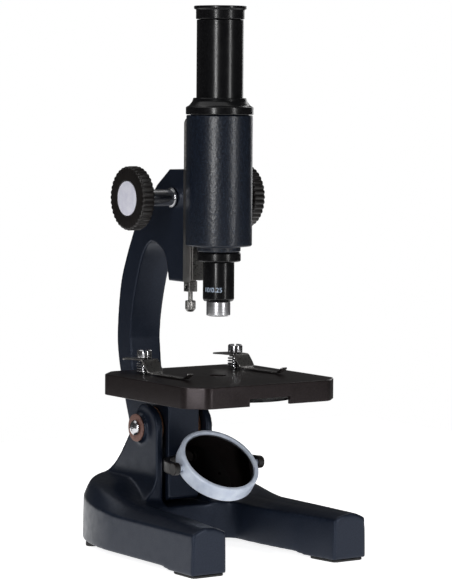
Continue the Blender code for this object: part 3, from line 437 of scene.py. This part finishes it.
def smooth_through(points, per_span=8):
    """A Catmull-Rom curve through a few points, end points included."""
    path = [Vector(p) for p in points]
    path = [path[0] * 2 - path[1]] + path + [path[-1] * 2 - path[-2]]
    result = []
    for i in range(1, len(path) - 2):
        a, b, c, d = path[i - 1:i + 3]
        for k in range(per_span):
            t = k / per_span
            result.append(tuple(0.5 * (2 * b + (c - a) * t + (2 * a - 5 * b + 4 * c - d) * t * t
                                       + (3 * b - a - 3 * c + d) * t ** 3)))
    return result + [tuple(path[-2])]


def smoothstep(value):
    t = min(1.0, max(0.0, value))
    return t * t * (3 - 2 * t)


def base_stations():
    """Pairs of outer and inner outline points, from the left foot round to the right."""
    neck_x, neck_y, neck_depth = 23.7, 14, 11
    inner = smooth_through([(31.8, BASE_FRONT_Y), (30.2, -44), (28.6, -35), (26.6, -25),
                            (24.9, -11), (23.8, 4), (neck_x, neck_y)])
    straight = []
    for k, (x, y) in enumerate(inner):
        share = k / (len(inner) - 1)
        straight.append((BASE_FRONT_Y + share * (ARC_START_Y - BASE_FRONT_Y), x, y))
    left = [((-BASE_HALF, oy), (-x, y)) for oy, x, y in straight]
    right = [((BASE_HALF, oy), (x, y)) for oy, x, y in reversed(straight)]
    bend, steps, squarish = [], 90, 0.75
    for k in range(1, steps):
        a = math.pi * (1 - k / steps)
        c, s = math.cos(a), math.sin(a)
        bend.append(((BASE_HALF * c, ARC_START_Y + (BASE_REAR_Y - ARC_START_Y) * s),
                     (neck_x * math.copysign(abs(c) ** squarish, c),
                      neck_y + neck_depth * s ** squarish)))
    return left + bend + right


def base_top(outer, inner, share):
    """The lower of an outer and an inner slope, with the ridge between them softened."""
    width = math.dist(outer, inner)
    rear = smoothstep((outer[1] - 5) / 55)
    from_outer, from_inner = share * width, (1 - share) * width
    crown, run = 3.3 + 5.2 * rear, 10 - 3.5 * rear
    outer_z = (EDGE_Z + 0.047 * max(0, outer[1] - 10)
               + crown * math.sin(math.pi / 2 * min(1, from_outer / run)))
    inner_z = (EDGE_Z + 3.3 * math.sin(math.pi / 2 * min(1, from_inner / 10))
               + 0.45 * max(0, from_inner - 10))
    soft = 0.8
    return -soft * math.log(math.exp(-outer_z / soft) + math.exp(-inner_z / soft))


def build_base():
    shares = [0.5 - 0.5 * math.cos(math.pi * k / 22) for k in range(23)]
    rings = []
    for outer, inner in base_stations():
        across = (Vector(inner) - Vector(outer)).normalized() * 0.5
        ring = []
        for share in shares:
            flat = Vector(outer).lerp(Vector(inner), share) + across * (1 - 2 * share)
            ring.append((flat.x, flat.y, base_top(outer, inner, share)))
        rings.append(ring + [(*p, 1.3 + 1.2 * smoothstep((p[1] + 35) / 8.5))
                             for p in (inner, outer)])
    casting = solid("base_casting_fine", loft(rings))

    root_x = EAR_OUTER + FLARE_R
    left = arc((-root_x, FLARE_FOOT_Z + FLARE_R), FLARE_R, -90, 0, 24)
    front = ([(-root_x, 12)] + left + [(-EAR_OUTER, 76), (EAR_OUTER, 76)]
             + [(-x, z) for x, z in reversed(left)] + [(root_x, 12)])
    ears = solid("ears", prism(front, EAR_FRONT_Y, 95, "Y"))
    side = smooth_through([(EAR_FRONT_Y, 60.5), (31.0, 65.2), (35.0, 69.2), (40.5, 71.5),
                           (45.6, 71.0), (49.5, 66.5), (53.2, 59.3), (61.5, 47.8), (68, 40.3),
                           (76, 34.2), (84, 29.5), (88, 26)]) + [(88, 11), (EAR_FRONT_Y, 11)]
    boolean(ears, "INTERSECT", prism(side, -45, 45, "X"))
    for operation, radius, reach in (("UNION", BOSS_R, BOSS_FACE_X),
                                     ("DIFFERENCE", PIVOT_HOLE_R, 30)):
        boolean(ears, operation, rod(radius, -reach, reach, PIVOT, "X", ROUND))
    rim = [(0.92 * outer[0], min(outer[1], 86.0)) for outer, _ in base_stations()]
    boolean(ears, "INTERSECT", prism(rim, 13, 80))
    join = casting.modifiers.new("ears", "BOOLEAN")
    join.operation, join.solver, join.object = "UNION", "EXACT", ears
    apply_modifiers(casting)
    bpy.data.objects.remove(ears)
    slot = oblong(-EAR_INNER, 19.5, EAR_INNER, 73)
    boolean(casting, "DIFFERENCE", prism(soften(slot, 3, True), 20.6, 90))
    below_table, hollow_top = -2, 15.5
    foot = [(47.5, -32), (47.5, 17), (28.5, 17), (29.5, -12), (32, -32)]
    rear = [(46.5, 21), (37, 50), (27, 69), (18, 69), (21, 48), (27, 21)]
    middle = [(-14.5, 52), (14.5, 52), (11.5, 80), (-11.5, 80)]
    hollows = [([(sign * x, y) for x, y in outline], 2.5)
               for sign in (-1, 1) for outline in (foot, rear)]
    hollows += [(middle, 3), (oblong(-16.5, 29, 16.5, 48), 3)]
    for outline, corner in hollows:
        boolean(casting, "DIFFERENCE",
                prism(soften(outline, corner, True), below_table, hollow_top))
    cast_skin(casting, 0.7, 7)
    dress(casting, "base_casting", 180)


# --------------------------------------------------------------------------------- arm
def build_arm():
    rear = smooth_through([(64.7, 158.3), (71.4, 145.0), (77.0, 130.0), (79.9, 107.0),
                           (78.6, 91.5), (72.4, 71.0), (67.2, 56.0), (65.6, 40.0), (59.0, 28.5),
                           (49.0, 23.2)], 10)
    arch = smooth_through([(67.6, 103.0), (66.4, 114.0), (63.2, 127.5), (58.0, 142.5),
                           (52.8, 150.6), (46.8, 153.8), (39.0, 151.2), (34.2, 146.0),
                           (31.8, 136.5)], 10)
    outline = (rear + [(32.0, 23.0), (30.5, 24.5), (30.5, 78.3), (62.0, 78.3), (66.0, 88.5)] + arch
               + [(31.6, 135.0), (15.5, 135.0), (15.5, 191.0), (31.3, 191.0), (43.0, 182.7)])
    arm = solid("arm_casting_fine", prism(outline, -ARM_HALF, ARM_HALF, "X"))
    flange = oblong(-20, 31.0, 20, 41.8)
    boolean(arm, "UNION", prism(soften(flange, 2, True), 80.2, 84.9))
    boolean(arm, "UNION", prism(oblong(-8, 31.5, 8, 41), 70, 82.5))
    mirror_stem = (middle_of("mirror_cell")[0], middle_of("mirror_cell")[2])
    cuts = ((4.6, -15, 15, KNOB_AXIS, "X"), (PIVOT_HOLE_R, -15, 15, PIVOT, "X"),
            (2.9, 25, 40, mirror_stem, "Y"),
            (1.9, 78, 88, (-STAGE_SCREW_X, STAGE_SCREW_Y), "Z"),
            (1.9, 78, 88, (STAGE_SCREW_X, STAGE_SCREW_Y), "Z"))
    for cut in cuts:
        boolean(arm, "DIFFERENCE", rod(*cut))
    cast_skin(arm, 0.5, 4)
    face_y = 18.1
    head_low, head_high = 120, 200
    boolean(arm, "DIFFERENCE", prism(oblong(-12, 5, 12, face_y), head_low, head_high))
    groove = [(-4.4, 10), (4.4, 10), (4.4, 18.4), (6.7, 22.0), (6.7, 22.5), (3.4, 22.5),
              (3.4, 26.8), (-3.4, 26.8), (-3.4, 22.5), (-6.7, 22.5), (-6.7, 22.0), (-4.4, 18.4)]
    boolean(arm, "DIFFERENCE", prism(groove, head_low, head_high))
    dress(arm, "arm_casting", 50)
    arm.data.materials.append(metal("milled_face", (0.50, 0.49, 0.48), (0.42, 0.52), 900, 0.001,
                                    (1, 1, 0.1)))
    groove_half, groove_low = 6.75 * MM, 134.5 * MM
    groove_back, front_face = (OPTICAL_AXIS.y + y * MM for y in (26.9, face_y + 0.02))
    for face in arm.data.polygons:
        x, y, z = face.center
        in_groove = (abs(x) < groove_half and y < groove_back and z > groove_low
                     and abs(face.normal.z) < 0.5)
        if y < front_face or in_groove:
            face.material_index = 1
            face.use_smooth = False


# ------------------------------------------------------------------------------- stage
def build_stage():
    half, middle_y, top_z, skirt_z = 45.0, -0.4, 89.2, 78.8
    front, rear = middle_y - half, middle_y + half
    cut_front, cut_rear = 9.1, 9.8

    def outline(inwards):
        w = half - inwards
        f, r = front + inwards, rear - inwards
        a, b = cut_front - 0.59 * inwards, cut_rear - 0.59 * inwards
        return soften([(-w + a, f), (w - a, f), (w, f + a), (w, r - b), (w - b, r), (-w + b, r),
                       (-w, r - b), (-w, f + a)], 2.6, True, 8)

    edge = 0.7
    rings = []
    for level, inwards in [(skirt_z, 0.2), (skirt_z + 0.2, 0.0)] + [
            (top_z - edge * (1 - math.sin(a)), edge * (1 - math.cos(a)))
            for a in (math.pi / 2 * k / 6 for k in range(7))]:
        rings.append([(x, y, level) for x, y in outline(inwards)])
    plate = solid("stage_plate_fine", loft(rings))
    boolean(plate, "DIFFERENCE", prism(outline(2.0), skirt_z - 5, top_z - 4.0))
    notch = oblong(-12, front - 3, 12, front + 3.5)
    boolean(plate, "DIFFERENCE", prism(notch, skirt_z - 3, 82.5))
    hole_low, through = 80, 92
    holes = [(4.25, 0, 0, through), (1.6, 0, -19.6, 88.4)]
    holes += [(1.8, x, CLIP_Y, through) for x in (-CLIP_X, CLIP_X)]
    holes += [(1.7, x, STAGE_SCREW_Y, 88.1) for x in (-STAGE_SCREW_X, STAGE_SCREW_X)]
    for radius, x, y, high in holes:
        boolean(plate, "DIFFERENCE", rod(radius, hole_low, high, (x, y)))
    dress(plate, "stage_plate", 25)


# ------------------------------------------------------------------------------- clips
CLIP_TURN = {"left": math.radians(2.0), "right": math.radians(3.5)}


def clip_shape():
    """Thumb tab, wide bend and narrow strip with a curled tip, as a bent strip of steel."""
    tab = [(10.2 + 5.2 * math.sin(a), 95.75 + 0.425 * (1 - math.sin(a)), 5.2 * math.cos(a))
           for a in (math.radians(90 - 6 * k) for k in range(16))]
    tab[0] = (tab[0][0], tab[0][1], 0.25)
    strip = smooth_through([(6.0, 96.35, 5.0), (1.0, 96.5, 5.0), (-3.4, 96.5, 5.0),
                            (-5.2, 95.9, 5.0), (-8.8, 91.9, 4.9), (-10.0, 90.7, 4.3),
                            (-11.4, 90.15, 2.7), (-13.0, 90.0, 2.2), (-26.0, 89.97, 1.9),
                            (-34.6, 89.95, 1.7), (-36.6, 90.5, 1.75), (-39.4, 92.2, 1.9),
                            (-40.2, 92.6, 1.5)], 6)
    path = tab + strip
    rings = []
    for i, (y, z, half) in enumerate(path):
        before, after = path[max(i - 1, 0)], path[min(i + 1, len(path) - 1)]
        along = Vector((after[0] - before[0], after[1] - before[1])).normalized()
        up = Vector((along.y, -along.x)) * 0.4
        ease = min(0.18, half / 3)
        flank = [(-half, -0.55), (-half + ease, -1), (half - ease, -1), (half, -0.55), (half, 0.55),
                 (half - ease, 1), (-half + ease, 1), (-half, 0.55)]
        rings.append([(x, y + up.x * k, z + up.y * k) for x, k in flank])
    return loft(rings)


def spring_shape(x):
    """Four and a bit turns of wire with flat ends."""
    turns, low, high, pitch = 4.3, 90.0, 95.2, 0.98
    coil_r, wire_r = 3.45, 0.42
    path = []
    for k in range(int(turns * 30) + 1):
        done = k / 30
        rise = min(1.0, max(0.0, (done - 0.9) / (turns - 1.8)))
        lead = pitch * (min(done, 1) + max(0, min(1, done - turns + 1)))
        a = 2 * math.pi * done
        path.append(Vector((x + coil_r * math.cos(a), CLIP_Y + coil_r * math.sin(a),
                            low + lead + (high - low - 2 * pitch) * rise)))
    rings, side = [], Vector((0, 0, 1))
    for i, point in enumerate(path):
        ahead = (path[min(i + 1, len(path) - 1)] - path[max(i - 1, 0)]).normalized()
        side = (side - ahead * side.dot(ahead)).normalized()
        up = ahead.cross(side)
        rings.append([tuple(point + (side * math.cos(a) + up * math.sin(a)) * wire_r)
                      for a in (2 * math.pi * k / 12 for k in range(12))])
    return loft(rings)


def turn_about(shape, matrix, about):
    middle = Vector(about)
    return [tuple(matrix @ (Vector(p) - middle) + middle) for p in shape[0]], shape[1]


def build_clips():
    for sign, word in ((-1, "left"), (1, "right")):
        x = sign * CLIP_X
        spin = Matrix.Rotation(CLIP_TURN[word], 3, "Z")
        points, faces = clip_shape()
        points = [tuple(spin @ Vector(p) + Vector((x, CLIP_Y, 0))) for p in points]
        plate = solid("clip_plate_%s_fine" % word, (points, faces))
        boolean(plate, "DIFFERENCE", rod(2.1, 94, 99, (x, CLIP_Y)))
        dress(plate, "clip_plate_" + word, 28)
        spring = solid("clip_spring_%s_fine" % word, spring_shape(x))
        dress(spring, "clip_spring_" + word, 60)
        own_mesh(spring)
        head = [(0, 78.0), (1.2, 78.0), (1.5, 78.3), (1.5, 97.3), (3.7, 97.3), (3.7, 100.9),
                (3.2, 101.4), (0, 101.4)]
        screw = solid("clip_screw_%s_fine" % word,
                      turned(soften(head, 0.35, False), (x, CLIP_Y), "Z", False, 72))
        slot = prism(oblong(x - 0.6, CLIP_Y - 6, x + 0.6, CLIP_Y + 6), 100.2, 104)
        slot_turn = Matrix.Rotation(math.radians(-32), 3, "Z")
        boolean(screw, "DIFFERENCE", turn_about(slot, slot_turn, (x, CLIP_Y, 100)))
        dress(screw, "clip_screw_" + word, 35)


# ------------------------------------------------------------------------------ mirror
def build_mirror():
    hub = tuple(middle_of("mirror_cell"))
    tilt = Matrix.Rotation(math.radians(39.8), 3, "X")

    def tilted(profile, closed, segments=144):
        level = [(r, hub[2] + h) for r, h in profile]
        return turn_about(turned(soften(level, 0.5, closed), hub[:2], "Z", closed, segments),
                          tilt, hub)

    cell = solid("mirror_cell_fine", tilted(
        [(16.8, 0.8), (18.6, 0.8), (18.6, 4.2), (20.2, 4.2), (20.9, 3.5), (20.9, -3.5),
         (20.2, -4.2), (18.6, -4.2), (18.6, -0.8), (16.8, -0.8)], True))
    for sign in (-1, 1):
        low, high = sorted((hub[0] + sign * 19.6, hub[0] + sign * 25.4))
        boolean(cell, "UNION", rod(1.35, low, high, hub[1:], "X", 36))
    dress(cell, "mirror_cell", 40)
    flat = [(0, 1.1), (18.3, 1.1), (18.3, 3.1), (0, 3.1)]
    dress(solid("mirror_flat_glass_fine", tilted(flat, False)), "mirror_flat_glass")
    bowl = [(0, -1.1), (18.3, -1.1), (18.3, -3.6), (10.0, -2.9), (0, -2.6)]
    dress(solid("mirror_concave_glass_fine", tilted(bowl, False)), "mirror_concave_glass")

    arms = arc(hub[:2], 26.6, 0, 180, 72) + arc(hub[:2], 23.6, 180, 0, 72)
    yoke = solid("mirror_yoke_fine", prism(arms, hub[2] - 3, hub[2] + 3))
    stem = [(0, 23.0), (3.6, 23.0), (3.6, 29.9), (2.4, 29.9), (2.4, 38.5), (0, 38.5)]
    boolean(yoke, "UNION", turned(stem, (hub[0], hub[2]), "Y", False, 48))
    for sign in (-1, 1):
        middle = hub[0] + sign * 25.1
        boolean(yoke, "UNION", rod(3.2, middle - 1.6, middle + 1.6, hub[1:], "X"))
        low, high = sorted((hub[0] + sign * 20, hub[0] + sign * 25.7))
        boolean(yoke, "DIFFERENCE", rod(1.7, low, high, hub[1:], "X", 36))
    cast_skin(yoke, 0.3, 3)
    dress(yoke, "mirror_yoke", 180)


# ------------------------------------------------------------------- knobs, bolt, screw
def build_knobs():
    """Knobs with rounded ribs, dished face and grooved back."""
    ribs, depth, centre, ribs_from_r = 36, 0.7, KNOB_AXIS, 14.5

    def ribbed(angle, radius):
        if radius < ribs_from_r:
            return 1.0
        wave = 0.5 + 0.5 * math.cos(ribs * angle)
        return 1 - depth / radius * (1 - wave ** 0.6)

    for sign, word in ((-1, "left"), (1, "right")):
        profile = [(2.5, 29.65), (6.6, 29.65), (6.6, 32.5), (13.2, 32.5), (13.2, 29.65),
                   (15.3, 29.65), (16.0, 30.5), (16.0, 35.8), (15.3, 36.65), (9.1, 36.65),
                   (8.9, 36.4), (8.9, 35.4), (2.5, 35.4)]
        flipped = [(r, sign * x) for r, x in profile]
        shape = turned(soften(flipped, 0.5, True, 3), centre, "X", True, ribs * 10)
        points = []
        for x, y, z in shape[0]:
            radius = math.hypot(y - centre[0], z - centre[1])
            scale = ribbed(math.atan2(z - centre[1], y - centre[0]), radius)
            points.append((x, centre[0] + (y - centre[0]) * scale,
                           centre[1] + (z - centre[1]) * scale))
        dress(solid("focus_knob_%s_fine" % word, (points, shape[1])), "focus_knob_" + word, 45)


def build_pivot_bolt():
    """A domed head with a cross recess."""
    dome = [(0, -22.5), (1.6, -22.3), (3.0, -21.7), (3.9, -20.8), (3.9, -20.25), (3.0, -20.25),
            (3.0, 22.9), (2.6, 23.3), (0, 23.3)]
    bolt = solid("pivot_bolt_fine", turned(soften(dome, 0.5, False), PIVOT, "X", False, 72))
    y, z = PIVOT
    for width, height in ((1.6, 0.3), (0.3, 1.6)):
        cross = oblong(y - width, z - height, y + width, z + height)
        boolean(bolt, "DIFFERENCE", prism(cross, -23.5, -21.7, "X"))
    dress(bolt, "pivot_bolt", 35)


def build_stop_head():
    """A small knurled head."""
    centre, knurls, knurled_from_r = (0, 25.2), 24, 2.5
    profile = [(0, 119.0), (1.6, 119.3), (2.65, 120.6), (2.65, 124.6), (2.35, 124.9),
               (1.45, 124.9), (1.45, 122.9), (0, 122.9)]
    points, faces = turned(soften(profile, 0.25, False), centre, "Z", False, 144)
    knurled = []
    for x, y, z in points:
        radius = math.hypot(x - centre[0], y - centre[1])
        wave = 0.5 - 0.5 * math.cos(knurls * math.atan2(y - centre[1], x - centre[0]))
        scale = 1 - (0.05 * wave if radius > knurled_from_r else 0)
        knurled.append((centre[0] + (x - centre[0]) * scale,
                        centre[1] + (y - centre[1]) * scale, z))
    dress(solid("stop_screw_head_fine", (knurled, faces)), "stop_screw_head", 50)


def build_stop_block():
    """The CAD block with eased edges."""
    block = frame["nodes"]["stop_block"].copy()
    block.data = block.data.copy()
    block.name = "stop_block_fine"
    block.parent = None
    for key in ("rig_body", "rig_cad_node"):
        del block[key]
    bpy.context.scene.collection.objects.link(block)
    cast_skin(block, 0.12, 2)
    dress(block, "stop_block", 180)


def build_numerals():
    """Generic magnification and aperture numerals wrapped round the objective."""
    barrel_r, level, middle_deg, size = 7.8, 131.2, -146.0, 3.3
    curve = bpy.data.curves.new("objective_numerals", "FONT")
    curve.body, curve.size, curve.extrude = "10/0.25", size * MM, 0.02 * MM
    curve.align_x = "CENTER"
    text = bpy.data.objects.new("text", curve)
    bpy.context.scene.collection.objects.link(text)
    graph = bpy.context.evaluated_depsgraph_get()
    mesh = bpy.data.meshes.new_from_object(text.evaluated_get(graph))
    bpy.data.objects.remove(text)
    for v in mesh.vertices:
        radius = barrel_r * MM + 0.00005 + v.co.z
        angle = math.radians(middle_deg) + v.co.x / (barrel_r * MM)
        v.co = OPTICAL_AXIS + Vector((radius * math.cos(angle), radius * math.sin(angle),
                                      level * MM + v.co.y))
    piece = bpy.data.objects.new("objective_numerals", mesh)
    bpy.context.scene.collection.objects.link(piece)
    mesh.materials.clear()
    mesh.materials.append(paint("numeral_white", (0.42, 0.52, 0.66), (0.52, 0.62, 0.76),
                                (0.4, 0.5), 900, 0.002))
    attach(piece, "tube")


# ------------------------------------------------------------------------------ studio
def build_studio():
    half = 0.4
    mesh = bpy.data.meshes.new("floor")
    mesh.from_pydata([(-half, -half, 0), (half, -half, 0), (half, half, 0), (-half, half, 0)], [],
                     [(0, 1, 2, 3)])
    floor = bpy.data.objects.new("floor", mesh)
    bpy.context.scene.collection.objects.link(floor)
    material, _, shader = new_material("floor_paper", (0.93, 0.93, 0.93), 0.9)
    shader.inputs["Specular IOR Level"].default_value = 0.0
    shader.inputs["Emission Color"].default_value = (1, 1, 1, 1)
    shader.inputs["Emission Strength"].default_value = 0.85
    floor.data.materials.append(material)

    world = bpy.data.worlds.new("studio")
    bpy.context.scene.world = world
    world.use_nodes = True
    background = world.node_tree.nodes["Background"]
    background.inputs["Color"].default_value = (1, 1, 1, 1)
    seen, lit = 1.0, 0.05
    strength = world.node_tree.nodes.new("ShaderNodeMapRange")
    strength.inputs["To Min"].default_value = lit
    strength.inputs["To Max"].default_value = seen
    ray = world.node_tree.nodes.new("ShaderNodeLightPath")
    world.node_tree.links.new(ray.outputs["Is Camera Ray"], strength.inputs["Value"])
    world.node_tree.links.new(strength.outputs["Result"], background.inputs["Strength"])
    bpy.context.scene.view_settings.view_transform = "Standard"

    sun = bpy.data.lights.new("overhead", "SUN")
    sun.energy, sun.angle = 1.0, math.radians(70)
    lamp = bpy.data.objects.new("overhead", sun)
    lamp.rotation_euler = (math.radians(-12), math.radians(-8), 0)
    bpy.context.scene.collection.objects.link(lamp)

    aim = Vector((0, 0, 0.14))
    for name, where, width, height, power in (
            ("left_strip", (-1.0, -0.75, 0.40), 0.07, 0.8, 7),
            ("right_strip", (0.35, -1.15, 0.40), 0.10, 0.9, 4),
            ("rear_strip", (0.75, 0.45, 0.45), 0.2, 0.7, 1)):
        light = bpy.data.lights.new(name, "AREA")
        light.shape, light.size, light.size_y, light.energy = "RECTANGLE", width, height, power
        lamp = bpy.data.objects.new(name, light)
        lamp.location = where
        lamp.rotation_mode = "QUATERNION"
        lamp.rotation_quaternion = (aim - Vector(where)).to_track_quat("-Z", "Y")
        bpy.context.scene.collection.objects.link(lamp)


def build_camera():
    azimuth, pitch, roll = math.radians(-34.096), math.radians(4.312), math.radians(0.387)
    distance, height = 1.32946, 0.23125
    camera = bpy.data.objects.new("camera", bpy.data.cameras.new("camera"))
    camera.data.lens = 165.46
    camera.data.sensor_width = 36.0
    camera.data.shift_x, camera.data.shift_y = 0.0129, -0.0006
    turn = (Matrix.Rotation(azimuth, 4, "Z") @ Matrix.Rotation(math.pi / 2 - pitch, 4, "X")
            @ Matrix.Rotation(roll, 4, "Z"))
    spot = OPTICAL_AXIS + Vector((math.sin(azimuth) * distance, -math.cos(azimuth) * distance,
                                  height))
    camera.matrix_world = Matrix.Translation(spot) @ turn
    bpy.context.scene.collection.objects.link(camera)
    bpy.context.scene.camera = camera


def dress_frame():
    """Every CAD node that still shows takes its slot's material."""
    for name, node in frame["nodes"].items():
        node.data.materials.clear()
        node.data.materials.append(MATERIALS[SLOT_OF[name]])
        node.data.shade_smooth()
        node.data.set_sharp_from_angle(angle=math.radians(30))


build_camera()
build_studio()
dress_frame()
build_turned()
build_base()
build_arm()
build_stage()
build_clips()
build_mirror()
build_knobs()
build_pivot_bolt()
build_stop_head()
build_stop_block()
build_numerals()
